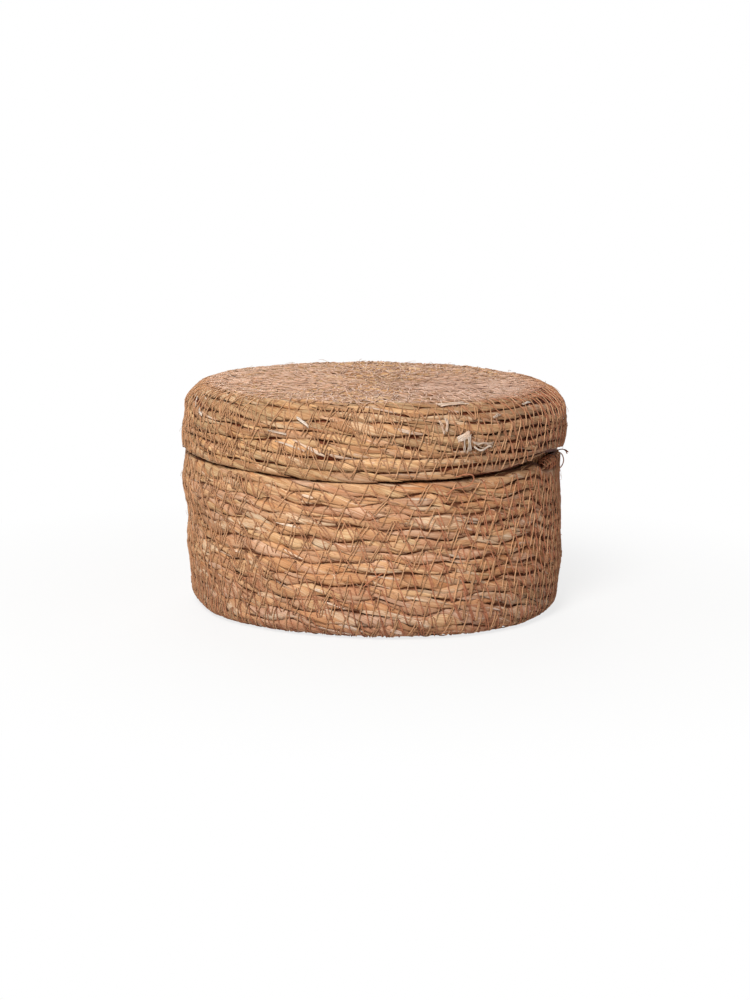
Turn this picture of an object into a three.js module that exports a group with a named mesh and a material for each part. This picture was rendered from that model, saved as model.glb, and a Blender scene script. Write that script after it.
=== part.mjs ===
// Round lidded box of plant-fibre strand: a box, a collar inside its mouth and a lift-off lid.
// Each of its five coils is one strand wound turn by turn along a profile that goes round the Z axis.
import * as THREE from "three";

// Box, in millimetres
const boxDiameter = 194;
const boxHeight = 80.2;
const boxCornerRadius = 10;
const boxCourse = 5.8;
const boxThickness = 5.2;

// Lid, in millimetres: its rim stands out past the wall of the box by the overhang
const lidOverhang = 2.5;
const lidHeight = 34;
const lidCornerRadius = 13.5;
const lidCourse = 4.8;
const lidThickness = 4.6;

// Collar inside the mouth of the box, in millimetres
const collarRise = 14;
const collarDepth = 16;
const collarCourse = 5.8;
const collarThickness = 4.4;

// Clearances, in millimetres
const turnGap = 0.55;
const seatGap = 0.3;

// Strand ends, in millimetres, and the place where each coil ends, in steps of a turn from +X
const tipHeight = 0.8;
const boxEndStep = -1;
const lidEndStep = 3;
const collarEndStep = 8;

// Strand section, as shares of its own width and thickness
const faceShare = 0.6;
const innerShare = 0.64;
const shoulderShare = 0.15;

// Steps in a turn, and the radius, in millimetres, inside which a flat coil takes every second one
const turnSteps = 20;
const fineRadius = 58;

const fullTurn = 2 * Math.PI;
const quarterTurn = Math.PI / 2;
const stepAngle = fullTurn / turnSteps;

// Section with a flat outer face, for floors: corners are [across the courses, out through the wall].
function flatSection(course, thickness) {
  const half = (course - turnGap) / 2;
  const face = half * faceShare;
  const corners = [
    [-half, -thickness / 2],
    [-face, thickness / 2],
    [face, thickness / 2],
    [half, -thickness / 2],
  ];
  return { corners, narrow: face };
}

// Section with an outer ridge and a narrower inner face, for walls that turn up round a corner.
function ridgedSection(course, thickness) {
  const half = (course - turnGap) / 2;
  const inner = half * innerShare;
  const shoulder = thickness * shoulderShare;
  const corners = [
    [-inner, -thickness / 2],
    [-half, shoulder],
    [0, thickness / 2],
    [half, shoulder],
    [inner, -thickness / 2],
  ];
  return { corners, narrow: inner };
}

// Path of a strand's middle from the centre of a floor, round the corner and up the wall.
function vesselProfile(diameter, cornerRadius, thickness) {
  const bend = cornerRadius - thickness / 2;
  const floor = diameter / 2 - cornerRadius;
  const wall = floor + bend * quarterTurn;
  return {
    floor,
    lengthTo: (height) => wall + height - cornerRadius,
    at(length) {
      const angle = THREE.MathUtils.clamp((length - floor) / bend, 0, quarterTurn);
      const along = new THREE.Vector2(Math.cos(angle), Math.sin(angle));
      const out = new THREE.Vector2(Math.sin(angle), -Math.cos(angle));
      const rise = Math.max(length - wall, 0);
      const hub = new THREE.Vector2(Math.min(length, floor), cornerRadius + rise);
      return { along, out, middle: hub.addScaledVector(out, bend) };
    },
  };
}

// Path of a strand's middle straight up a round wall.
function uprightProfile(radius) {
  return {
    lengthTo: (height) => height,
    at: (length) => ({
      along: new THREE.Vector2(0, 1),
      out: new THREE.Vector2(1, 0),
      middle: new THREE.Vector2(radius, length),
    }),
  };
}

// A winding goes clockwise from above and is counted in steps back from its end, where the rim cuts it level.
function winding(profile, course, height, narrow, endStep) {
  const rim = profile.lengthTo(height);
  const end = rim + narrow - tipHeight;
  return {
    profile,
    rim,
    lengthAt: (step) => end - (step * course) / turnSteps,
    angleAt: (step) => (step + endStep) * stepAngle,
    stepAt: (length) => ((end - length) * turnSteps) / course,
  };
}

// Corners of the strand where it crosses the half-plane at one step of its winding.
function ringAt(wound, section, step) {
  const length = wound.lengthAt(step);
  const angle = wound.angleAt(step);
  const { along, out, middle } = wound.profile.at(length);
  return section.corners.map(([across, outward]) => {
    const level = Math.min(across, wound.rim - length);
    const corner = middle.clone().addScaledVector(along, level).addScaledVector(out, outward);
    return new THREE.Vector3(corner.x * Math.cos(angle), corner.x * Math.sin(angle), corner.y);
  });
}

// Closed tube through a row of rings, with flat ends.
function tubeGeometry(rings) {
  const sides = rings[0].length;
  const index = [];
  for (let ring = 0; ring + 1 < rings.length; ring += 1) {
    for (let side = 0; side < sides; side += 1) {
      const next = (side + 1) % sides;
      const here = ring * sides;
      const there = here + sides;
      index.push(here + side, there + side, here + next);
      index.push(here + next, there + side, there + next);
    }
  }
  const last = (rings.length - 1) * sides;
  for (let side = 1; side + 1 < sides; side += 1) {
    index.push(0, side, side + 1);
    index.push(last, last + side + 1, last + side);
  }
  const geometry = new THREE.BufferGeometry().setFromPoints(rings.flat());
  geometry.setIndex(index);
  geometry.computeVertexNormals();
  return geometry;
}

// Least distance between one loop of a strand and the next, on its corners and halfway between rings.
function leastGap(rings, steps) {
  const stations = [];
  rings.forEach((ring, place) => {
    stations.push({ step: steps[place], points: ring });
    if (place + 1 < rings.length) {
      const halfway = ring.map((corner, side) => corner.clone().lerp(rings[place + 1][side], 0.5));
      stations.push({ step: (steps[place] + steps[place + 1]) / 2, points: halfway });
    }
  });
  let least = Infinity;
  for (const one of stations) {
    for (const other of stations) {
      const apart = other.step - one.step;
      if (apart > turnSteps / 2 && apart < turnSteps * 1.5) {
        for (const a of one.points) {
          for (const b of other.points) {
            least = Math.min(least, a.distanceTo(b));
          }
        }
      }
    }
  }
  return least;
}

// Mesh of the stretch of a winding between two steps, the first one nearer to its end.
function coil(name, wound, section, steps, material) {
  const rings = steps.map((step) => ringAt(wound, section, step));
  const mesh = new THREE.Mesh(tubeGeometry(rings), material);
  mesh.name = name;
  console.log(`${name}: least gap between loops ${leastGap(rings, steps).toFixed(2)} mm`);
  return mesh;
}

function stepRange(first, last, stride) {
  const steps = [];
  for (let step = first; step <= last; step += stride) {
    steps.push(step);
  }
  return steps;
}

// Floor coil and wall coil of a vessel: one strand, parted at the last turn that lies flat.
function vesselCoils(sizes, names, materials) {
  const { diameter, height, cornerRadius, course, thickness, endStep } = sizes;
  const profile = vesselProfile(diameter, cornerRadius, thickness);
  const ridged = ridgedSection(course, thickness);
  const flat = flatSection(course, thickness);
  const wound = winding(profile, course, height, ridged.narrow, endStep);

  const parting = Math.ceil(wound.stepAt(profile.floor - course));
  const wallSteps = stepRange(0, parting, 1);

  const endGap = seatGap / (wound.lengthAt(parting) * stepAngle);
  const coarse = Math.max(parting + 1, Math.ceil(wound.stepAt(fineRadius)));
  const start = wound.stepAt(course / 2);
  const floorSteps = [
    parting + endGap,
    ...stepRange(parting + 1, coarse - 1, 1),
    ...stepRange(coarse, start, 2),
  ];
  return [
    coil(names.floor, wound, flat, floorSteps, materials.floor),
    coil(names.wall, wound, ridged, wallSteps, materials.wall),
  ];
}

// Collar: an upright coil that stands against the inside of the box wall and rises above its rim.
function collarCoil(material) {
  const outer = boxDiameter / 2 - boxThickness - seatGap;
  const profile = uprightProfile(outer - collarThickness / 2);
  const section = flatSection(collarCourse, collarThickness);
  const top = boxHeight + collarRise;
  const wound = winding(profile, collarCourse, top, section.narrow, collarEndStep);
  const foot = boxHeight - collarDepth + (collarCourse - turnGap) / 2;
  return coil("collar_coil", wound, section, stepRange(0, wound.stepAt(foot), 1), material);
}

function strandMaterial(color, roughness) {
  return new THREE.MeshStandardMaterial({ color, roughness, metalness: 0 });
}

const box = new THREE.Group();
const boxSizes = {
  diameter: boxDiameter,
  height: boxHeight,
  cornerRadius: boxCornerRadius,
  course: boxCourse,
  thickness: boxThickness,
  endStep: boxEndStep,
};
const boxNames = { floor: "base_coil", wall: "wall_coil" };
const boxMaterials = { floor: strandMaterial(0xa97c58, 0.8), wall: strandMaterial(0xb88866, 0.75) };
box.add(...vesselCoils(boxSizes, boxNames, boxMaterials));
box.add(collarCoil(strandMaterial(0x9c7250, 0.8)));

// The lid is wound as a shallow vessel and turned over, so that its rim faces the rim of the box.
const lid = new THREE.Group();
const lidSizes = {
  diameter: boxDiameter + 2 * lidOverhang,
  height: lidHeight,
  cornerRadius: lidCornerRadius,
  course: lidCourse,
  thickness: lidThickness,
  endStep: lidEndStep,
};
const lidNames = { floor: "lid_top_coil", wall: "lid_rim_coil" };
const lidMaterials = { floor: strandMaterial(0xc49c80, 0.8), wall: strandMaterial(0xb68a68, 0.75) };
lid.add(...vesselCoils(lidSizes, lidNames, lidMaterials));
lid.rotation.x = Math.PI;
lid.position.z = boxHeight + seatGap + lidHeight;

const lidded_box = new THREE.Group();
lidded_box.add(box, lid);

export default lidded_box;
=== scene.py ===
"""Round lidded box of coiled rush strand, sewn course to course with zigzag thread."""

import math
from typing import NamedTuple

import bpy
import numpy as np
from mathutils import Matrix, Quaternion, Vector


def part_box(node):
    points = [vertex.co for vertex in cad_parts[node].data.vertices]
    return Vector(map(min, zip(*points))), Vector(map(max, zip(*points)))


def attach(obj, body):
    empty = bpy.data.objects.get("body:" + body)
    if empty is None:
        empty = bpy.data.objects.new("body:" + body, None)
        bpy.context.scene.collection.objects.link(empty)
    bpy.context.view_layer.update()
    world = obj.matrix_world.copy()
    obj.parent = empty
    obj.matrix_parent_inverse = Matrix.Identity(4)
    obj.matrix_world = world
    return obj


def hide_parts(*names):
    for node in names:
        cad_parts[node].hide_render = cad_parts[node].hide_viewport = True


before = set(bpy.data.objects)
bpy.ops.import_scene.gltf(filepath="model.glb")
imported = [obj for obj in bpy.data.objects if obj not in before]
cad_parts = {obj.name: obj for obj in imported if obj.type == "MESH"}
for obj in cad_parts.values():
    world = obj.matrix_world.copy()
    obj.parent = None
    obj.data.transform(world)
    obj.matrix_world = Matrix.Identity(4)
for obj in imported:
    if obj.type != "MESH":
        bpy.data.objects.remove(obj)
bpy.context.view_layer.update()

# Lengths are in millimetres, apart from those of floor, lamps and bumps, which are in metres
MM = 0.001
TAU = 2 * math.pi
QUARTER = math.pi / 2


# Sizes that the frame gives
def node_box(node):
    low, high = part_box(node)
    return np.array(low) / MM, np.array(high) / MM


base_low, base_high = node_box("base_coil")
wall_high = node_box("wall_coil")[1]
collar_low, collar_high = node_box("collar_coil")
lid_top_low, lid_top_high = node_box("lid_top_coil")
lid_rim_low, lid_rim_high = node_box("lid_rim_coil")

BOX_RADIUS = wall_high[0]
BOX_HEIGHT = wall_high[2]
BOX_THICKNESS = base_high[2] - base_low[2]
LID_RADIUS = lid_rim_high[0]
LID_HEIGHT = lid_rim_high[2] - lid_rim_low[2]
LID_THICKNESS = lid_top_high[2] - lid_top_low[2]
TOP = lid_rim_high[2]
COLLAR_RADIUS = collar_high[0]

# Corners of box and lid and the thickness of the collar
BOX_CORNER = 10.0
LID_CORNER = 13.5
COLLAR_THICKNESS = 4.4

# Colours as they look under even light, each of red, green and blue out of 255
BOX_LEAVES = [
    (228, 188, 144),
    (222, 178, 134),
    (230, 194, 148),
    (214, 172, 136),
    (232, 204, 170),
    (208, 160, 124),
    (224, 184, 152),
    (222, 172, 126),
]
LID_LEAVES = [
    (228, 188, 140),
    (220, 178, 132),
    (232, 194, 144),
    (206, 172, 128),
    (236, 206, 166),
    (200, 158, 116),
    (218, 178, 140),
    (192, 160, 120),
]
DRY_LEAF = (240, 218, 194)
FRAYED_LEAF = (255, 240, 222)
KHAKI_THREAD = (230, 182, 138)
PINK_THREAD = (214, 146, 110)
PALE_THREAD = (246, 210, 183)
FLOOR_COLOUR = (234, 232, 229)

# Colours that others are multiplied by: leaves of box, lid and collar, then parts of a leaf and a thread
BOX_SHADE = (255, 255, 255)
LID_SHADE = (253, 252, 254)
# The collar's leaves are the box's, dimmed: painted shade, as the collar stands in the lid's shadow
COLLAR_PAINTED_SHADE = (236, 226, 216)
VEIN_SHADE = (204, 164, 132)
BLOTCH_SHADE = (226, 196, 166)
# Painted shade that leaves take in the joints and where their edges are tucked in
CREVICE_PAINTED_SHADE = (122, 66, 44)
PLY_SHADE = (206, 172, 146)
WORN_SHADE = (214, 184, 160)
# Painted shade at the ends of a thread, where they dip into the weave
DIP_PAINTED_SHADE = (104, 64, 46)


class Strand(NamedTuple):
    """How one strand is wound and sewn: lengths in millimetres, angles in degrees from +X seen from above.

    plump is its width as a share of its course, over 1 where neighbours press on each other. core is the
    share of its thickness that its middle fills, and how much painted crevice shade it takes. The strand
    tapers to its end at the rim over the tip, and to its start over the foot, and each turn climbs to the
    next in a share of the way round. stitch is the length of one zig and zag. Leaves take painted shade on
    the side away from the key lamp, given with its direction, its reach to each side and the shares of red,
    green and blue that are lost, and are narrower there by the share slack. Threads that slant one way take
    a painted pink sheen, strongest in one direction, given with its reach. hand is -1 for a coil that is
    turned over.
    """

    body: str
    slot: str
    course: float
    plump: float
    core: tuple
    end: float
    tip: float
    foot: float
    climb: float
    stitch: float
    leaves: list
    painted_shade: tuple
    slack: float
    pink_sheen_side: tuple
    seed: int
    hand: int = 1


BOX_STRAND = Strand(
    body="box",
    slot="box_strand",
    course=5.8,
    plump=1.14,
    core=(0.45, 0.85),
    end=-25.0,
    tip=9.0,
    foot=0.0,
    climb=0.022,
    stitch=10.6,
    leaves=BOX_LEAVES,
    painted_shade=(-4, 52, (0.14, 0.2, 0.17)),
    slack=0.25,
    pink_sheen_side=(-40, 70),
    seed=11,
)
LID_STRAND = Strand(
    body="lid",
    slot="lid_strand",
    course=4.8,
    plump=0.98,
    core=(0.26, 1.0),
    end=-28.0,
    tip=45.0,
    foot=0.0,
    climb=0.075,
    stitch=8.6,
    leaves=LID_LEAVES,
    painted_shade=(-22, 44, (0.29, 0.32, 0.24)),
    slack=0.26,
    pink_sheen_side=(-15, 45),
    seed=12,
    hand=-1,
)
COLLAR_STRAND = Strand(
    body="box",
    slot="collar_strand",
    course=5.8,
    plump=1.16,
    core=(0.4, 0.8),
    end=144.0,
    tip=26.0,
    foot=22.0,
    climb=0.075,
    stitch=10.6,
    leaves=BOX_LEAVES,
    painted_shade=(0, 40, (0.0, 0.0, 0.0)),
    slack=0.0,
    pink_sheen_side=(-40, 70),
    seed=13,
)


def linear(colour):
    """A colour out of 255 as the linear values that shaders work in."""
    share = np.array(colour, float) / 255
    return np.where(share <= 0.04045, share / 12.92, ((share + 0.055) / 1.055) ** 2.4)


def smoothstep(x):
    x = np.clip(x, 0, 1)
    return x * x * (3 - 2 * x)


def at_least(least, share):
    """A share from 0 to 1 as one from a least value to 1."""
    return least + (1 - least) * share


def hump(x, middle, reach):
    """1 at the middle, falling to 0 at about twice the reach to each side."""
    return np.exp(-(((x - middle) / reach) ** 2))


def bump_at(angle, degrees, reach):
    """A hump in one direction from the axis, given with its reach in degrees."""
    apart = np.angle(np.exp(1j * (angle - math.radians(degrees))))
    return hump(apart, 0, math.radians(reach))


def bumps(angle, places):
    """Sum of humps round the axis, each with its direction and reach in degrees and its height."""
    return sum(height * bump_at(angle, degrees, reach) for degrees, reach, height in places)


def lobes(angle, count, turn, reach):
    """A wave round the axis with a number of lobes."""
    return reach * np.sin(count * angle + turn)


# Camera: a little above the lid, far enough back for a long lens
CAMERA_DISTANCE = 1100.0
CAMERA_HEIGHT = 250.0
CAMERA_ROLL = math.radians(0.75)
AIM = Vector((0.45, 0.0, 52.0))
FOCAL_PIXELS = 2138.0
IMAGE_HEIGHT = 1000.0
SENSOR = 36.0


def add_camera():
    data = bpy.data.cameras.new("camera")
    data.sensor_width = SENSOR
    data.lens = SENSOR * FOCAL_PIXELS / IMAGE_HEIGHT
    camera = bpy.data.objects.new("camera", data)
    bpy.context.scene.collection.objects.link(camera)
    place = Vector((0, -CAMERA_DISTANCE, CAMERA_HEIGHT))
    camera.location = place * MM
    looking = (AIM - place).to_track_quat("-Z", "Y") @ Quaternion((0, 0, 1), CAMERA_ROLL)
    camera.rotation_euler = looking.to_euler()
    bpy.context.scene.camera = camera


add_camera()

# A slow sway is the sum of this many waves, of unequal weight
WAVES = 7
WAVE_WEIGHTS = (0.4, 1.0)


def wander(rng, shortest, longest, reach):
    """A slow sway along a strand: a function of millimetres that stays near zero and seldom passes reach."""
    lengths = rng.uniform(shortest, longest, WAVES)
    phases = rng.uniform(0, TAU, WAVES)
    weights = rng.uniform(*WAVE_WEIGHTS, WAVES)
    weights *= reach / np.sqrt((weights**2).sum())

    def sway(x):
        x = np.asarray(x, float)[..., None]
        return (weights * np.sin(TAU * x / lengths + phases)).sum(-1)

    return sway


class Vessel:
    """The surface a coil lies on, from the middle of a floor round the corner and up the wall.

    A place on it is a length along that profile, a distance out through the wall and an angle round Z.
    """

    def __init__(self, radius, corner, thickness, settle):
        self.thickness = thickness
        self.corner = corner
        self.bend = corner - thickness / 2
        self.floor = radius - corner
        self.wall = self.floor + self.bend * QUARTER
        self.settle = settle

    def length_to(self, height):
        return self.wall + height - self.corner

    def upright(self, length):
        """From 0 on the floor to 1 on the wall."""
        return np.clip((length - self.floor) / (self.wall - self.floor), 0, 1)

    def radius(self, length):
        return np.minimum(length, self.floor) + self.bend * np.sin(self.upright(length) * QUARTER)

    def place(self, length, out, angle):
        turn = self.upright(length) * QUARTER
        reach = self.bend + out
        radius = np.minimum(length, self.floor) + reach * np.sin(turn)
        height = self.corner + np.maximum(length - self.wall, 0) - reach * np.cos(turn)
        return self.settle(radius, angle, height)


class Sleeve:
    """A plain upright band with no floor: the surface that the collar's coil lies on."""

    floor = 0.0

    def __init__(self, radius, thickness, settle):
        self.thickness = thickness
        self.middle = radius - thickness / 2
        self.settle = settle

    def length_to(self, height):
        return height

    def upright(self, length):
        return np.ones_like(length)

    def radius(self, length):
        return np.full_like(length, self.middle)

    def place(self, length, out, angle):
        return self.settle(self.middle + out, angle, length)


# How far the rims of box and lid rise and fall round the mouth: low in front, high at the right
RIM_SWAY = [(-90, 50, -2.6), (0, 45, 1.2)]

# Rise of the box's rim next to the end of its strand, and the power by which it fades down the wall
END_RISE = [(-37, 13, 1.3)]
END_RISE_FADE = 6

# The box from above has lobes, and halfway up its courses wave: the number, the turn and the reach of each
BOX_LOBES = (3, 0.6, 0.5)
BOX_WAVE = (2, 1.1, 0.25)

# Waist of the box: its height and reach as shares of the box's, and how far it sinks in
BOX_WAIST = (0.56, 0.2)
BOX_WAIST_DEPTH = 0.6

# How far the box lies to the right at its foot, and how much further to the left at its rim
BOX_SHIFT = 0.3
BOX_LEAN = 1.2

# Where the box swells or sinks in: a direction and reach in degrees, a height and reach up and down, how far
BOX_SWELLS = [
    (180, 40, 63, 10, 2.2),
    (-52, 36, 7, 15, 2.4),
    (-54, 30, 0, 5, 3.0),
    (-138, 26, 2, 6, 2.6),
    (180, 50, 10, 12, -2.2),
    (0, 50, 35, 20, 0.9),
    (0, 45, 74, 12, -0.9),
    (0, 40, 9, 7, -1.5),
]

# The sway of a rim grows on past it, where threads stand over it, to these shares of the height
BOX_PAST = 1.2
LID_PAST = 1.1


def settle_box(radius, angle, height):
    """Hand-made shape of the box: it leans a little, swells under the lid and stands flat."""
    rise = np.clip(height / BOX_HEIGHT, 0, BOX_PAST)
    swell = lobes(angle, *BOX_LOBES) * rise - BOX_WAIST_DEPTH * hump(rise, *BOX_WAIST)
    for degrees, reach, middle, spread, amount in BOX_SWELLS:
        swell = swell + amount * bump_at(angle, degrees, reach) * hump(height, middle, spread)
    grown = radius + swell * np.clip(radius / BOX_RADIUS, 0, 1) ** 2
    sway = bumps(angle, RIM_SWAY) * rise**2 + lobes(angle, *BOX_WAVE) * rise * (1 - rise)
    sway = sway + bumps(angle, END_RISE) * np.clip(rise, 0, 1) ** END_RISE_FADE
    lean = BOX_SHIFT - BOX_LEAN * rise
    return np.stack([grown * np.cos(angle) + lean, grown * np.sin(angle), height + sway], -1)


# The lid from above has lobes, and its top waves: the number, the turn and the reach of each
LID_LOBES = [(2, 0.4, 0.4), (3, 2.0, 0.3)]
LID_WAVE = (2, 0.9, 0.3)

# How much narrower the lid is, how far it lies to the left and how far its lip turns in, over a height
LID_NARROWER = 0.9
LID_SHIFT = 0.5
LIP_INWARD = 1.6
LIP_HEIGHT = 8

# Left of the lid, which flares out below a share of the way down, and its right, which is rounder: a
# direction and reach in degrees, and how far
LEFT_FLARE = [(180, 45, 2.6)]
LEFT_FLARE_FROM = 0.62
RIGHT_ROUND = [(0, 42, 1.6)]

# How much higher the edge of the lid's top is than its middle
LID_DIP = 0.9

# How far the lid's lower edge departs from the box's rim: directions and reaches in degrees, and how far up
LID_SEAM = [(-25, 35, 0.5), (-101, 22, -0.9), (-76, 7, 0.3)]


def settle_lid(radius, angle, height):
    """Hand-made shape of the lid, wound mouth up and turned over: wider at its rim, lower in the middle."""
    share = radius / LID_RADIUS
    fall = np.clip(height / LID_HEIGHT, 0, 1)
    lip = np.clip((height - LID_HEIGHT + LIP_HEIGHT) / LIP_HEIGHT, 0, 1)
    flare = fall - 0.5 - LIP_INWARD * lip**2
    flare = flare + bumps(angle, LEFT_FLARE) * (fall - LEFT_FLARE_FROM)
    flare = flare - bumps(angle, RIGHT_ROUND) * (2 * fall - 1) ** 2
    swell = sum(lobes(angle, *wave) for wave in LID_LOBES) + flare - LID_NARROWER
    grown = radius + swell * share**2
    dip = LID_DIP * np.clip(1 - share**2, 0, 1) + lobes(angle, *LID_WAVE) * share**2
    dip = dip - LID_DIP * (1 - fall)
    edge = np.clip(height / LID_HEIGHT, 0, LID_PAST) ** 2
    sway = (bumps(-angle, RIM_SWAY) + bumps(-angle, LID_SEAM)) * edge
    place = [grown * np.cos(angle) - LID_SHIFT, -grown * np.sin(angle), TOP - height - dip + sway]
    return np.stack(place, -1)


# Near the rim a turn climbs this share of its course all at once, and less in the last turns to the floor
STEP_SHARE = 0.85
STEP_TURNS = 6

# Loose end of a strand: how far it bends to the next turn, as a share of the course, and how wide and thick
# it is there, as shares of the full strand
TIP_BEND = 0.46
TIP_WIDTH = 0.3
TIP_FACE = 0.35

# Radius of a usual turn, by which sways are counted, and how finely turns are measured
TURN_RADIUS = 90.0
TURN_STEPS = 240
BACK_STEP = 0.01

# Sways of a strand: shortest and longest wave, and reach, which for a joint is a share of the course
OUT_SWAY = (30, 140, 0.36)
SIDE_SWAY = (22, 120, 0.3)
JOINT_WAVES = (22, 190)
JOINT_REACH = 0.2

# Turns from the end of a strand at which its joint begins to stray, and over which it comes to stray fully
JOINT_FROM = 0.85
JOINT_OVER = 0.3

# How much lower the strand's face lies on a floor
FLOOR_LOWER = 0.75

# Threads stop at this share of the half width of the turn above them
EDGE_SHARE = 0.86

# Threads take this share of the painted shade that leaves take on the side away from the key lamp, and
# stitches are closer there by this share
THREAD_TONE = 0.4
SHADED_STITCHES = 0.3

# At the foot of the box: the shares of red, green and blue that leaves lose and the share that threads lose,
# how much fuller the leaves lie and how much closer the stitches
FOOT_TONE = np.array([0.14, 0.13, 0.06])
THREAD_FOOT_TONE = 0.2
FOOT_FULL = 0.17
FOOT_STITCHES = 0.55

# Threads on the lid turn pale by this share at the edge of its top, and wholly there too but on one side,
# given with its reach in degrees, where that comes a number of courses further in
PALE_HALFWAY = 0.45
PALE_RETREAT = [(-12, 46, 1.6)]

# Painted sheen of the threads that slant one way, which shows as pink: its least share, how much more lies
# at the foot of the box, and how much duller all threads are where there is none
PINK_LEAST = 0.15
PINK_FOOT = 0.5
THREAD_DULL = 0.15


class Winding:
    """One strand on a surface, placed by the turns counted back from its end at the rim."""

    def __init__(self, surface, rim, strand, leaf):
        rng = np.random.default_rng(strand.seed)
        self.surface = surface
        self.strand = strand
        self.leaf = leaf
        self.course = strand.course
        self.hand = strand.hand
        self.leaves = [linear(colour) for colour in strand.leaves]
        self.half = surface.thickness / 2
        self.rim = surface.length_to(rim)
        self.end = self.rim - self.course / 2
        self.end_angle = math.radians(strand.end) * self.hand
        self.flat_turn = (self.end - surface.floor) / self.course
        self.out_sway = wander(rng, *OUT_SWAY)
        self.side_sway = wander(rng, *SIDE_SWAY)
        self.joint_sway = wander(rng, *JOINT_WAVES, JOINT_REACH * self.course)

    def length(self, back):
        whole = np.floor(back)
        part = back - whole
        climb = smoothstep((part - 1 + self.strand.climb) / self.strand.climb)
        step = STEP_SHARE * np.clip((self.flat_turn - whole) / STEP_TURNS, 0, 1)
        return self.end - self.course * (whole + (1 - step) * part + step * climb)

    def angle(self, back):
        return self.end_angle + TAU * back

    def back_at(self, length):
        """Turns back from the end to a length on the profile."""
        backs = np.arange(0, self.end / self.course, BACK_STEP)
        return float(np.interp(-length, -self.length(backs), backs))

    def spaced(self, first, last, spacing, tightest=0.0):
        """Turns back from the end, evenly spaced along the strand, and the millimetres to each.

        A turn of a smaller radius than the tightest is drawn with as many steps as one of that radius.
        """
        fine = np.linspace(first, last, int((last - first) * TURN_STEPS) + 2)
        radius = np.maximum(self.surface.radius(self.length(fine)), tightest)
        steps = 0.5 * (radius[1:] + radius[:-1]) * TAU * np.diff(fine)
        run = np.concatenate([[0], np.cumsum(steps)])
        along = np.linspace(0, run[-1], max(int(run[-1] / spacing), 4))
        return np.interp(along, run, fine), along

    def joint(self, back):
        """How far the joint to the turn above strays: not at the rim, and less near a centre."""
        share = np.clip(self.surface.radius(self.length(back)) / TURN_RADIUS, 0, 1)
        strays = self.joint_sway(back * TAU * TURN_RADIUS)
        return strays * smoothstep((back - JOINT_FROM) / JOINT_OVER) * share

    def strand_offset(self, back):
        """How far the strand strays out, which it doesn't on the box's floor, and across its course."""
        walked = back * TAU * TURN_RADIUS
        free = self.surface.upright(self.length(back)) if self.hand > 0 else 1.0
        joints = (self.joint(back) + self.joint(back + 1)) / 2
        return self.out_sway(walked) * free, self.side_sway(walked) + joints

    def between_joints(self, back):
        """Distance from the joint under the strand to the one over it, as a share of the course."""
        return 1 + (self.joint(back) - self.joint(back + 1)) / self.course

    def fullness(self, back):
        """Width of the strand's leaves, as a share of the course: less where slack, more at the foot."""
        spare = FOOT_FULL * self.low(back)
        return self.between_joints(back) * (1 - self.strand.slack * self.shaded(back) + spare)

    def toward(self, back, degrees, reach):
        """1 where the strand lies in one direction from the axis, to 0 on the other side."""
        return bump_at(self.hand * self.angle(back), degrees, reach)

    def shaded(self, back):
        """1 where leaves take the most painted shade, away from the key lamp, to 0 on the other side."""
        degrees, reach, _ = self.strand.painted_shade
        return self.toward(back, degrees, reach)

    def low(self, back):
        """From 0 in the upper half of the box to 1 at its foot, and 0 on the lid."""
        if self.hand < 0:
            return np.zeros_like(back)
        return smoothstep(2 * back * self.course / BOX_HEIGHT - 1)

    def tone(self, back, share=1.0, foot=FOOT_TONE):
        """Painted shade on one side and a dimmer foot, which leaves, and threads by other shares, take."""
        lost = self.shaded(back)[..., None] * np.array(self.strand.painted_shade[2])
        return 1 - share * lost - foot * np.expand_dims(self.low(back), -1)

    def closeness(self, back):
        """How close the stitches lie: 1, and more at the foot of the box and on the side with painted shade.
        """
        return 1 + FOOT_STITCHES * self.low(back) + SHADED_STITCHES * self.shaded(back)

    def paleness(self, length, angle):
        """How pale a thread is outside: from 0 on the rim of the lid to 1 on its top, and 0 on the box."""
        if self.hand > 0:
            return np.zeros_like(length)
        inside = (self.surface.floor - length) / self.course + 1
        retreat = bumps(-angle, PALE_RETREAT)
        return PALE_HALFWAY * smoothstep(inside) + (1 - PALE_HALFWAY) * smoothstep(inside - retreat)

    def pink_sheen(self, back):
        """How much painted pink sheen the threads that slant one way take: most on one side and at the foot.
        """
        side = self.toward(back, *self.strand.pink_sheen_side)
        return np.clip(at_least(PINK_LEAST, side) + PINK_FOOT * self.low(back), 0, 1)

    def taper(self, first, along):
        """Fullness of a stretch of strand, from 0 at a loose end to 1, and its bend to the next turn."""
        end = smoothstep(along / self.strand.tip) if first == 0 else np.ones_like(along)
        foot = self.strand.foot
        start = smoothstep((along[-1] - along) / foot) if foot else np.ones_like(along)
        return end * start, TIP_BEND * self.course * (end - start)

    def edge(self, back):
        """Length to the upper edge of the strand, which falls back from the rim where the strand tapers."""
        length = self.length(back)
        tip = smoothstep(back * TAU * self.surface.radius(length) / self.strand.tip)
        width = EDGE_SHARE * self.course / 2 * self.strand.plump
        width = width * at_least(TIP_WIDTH, tip) * self.fullness(back)
        bend = TIP_BEND * self.course * (1 - tip)
        return np.minimum(length + self.strand_offset(back)[1] - bend + width, self.rim)

    def spot(self, degrees, distance, out):
        """A place outside: degrees round from +X, distance from the rim, and out from the face."""
        length = self.rim - np.asarray(distance, float)
        angle = np.radians(np.asarray(degrees, float)) * self.hand
        return self.surface.place(length, self.face(length) + out, angle)

    def face(self, length):
        """Distance from the strand's middle to its outer face, which is less on a floor."""
        return self.half - FLOOR_LOWER * (1 - smoothstep(self.surface.upright(length)))


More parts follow.
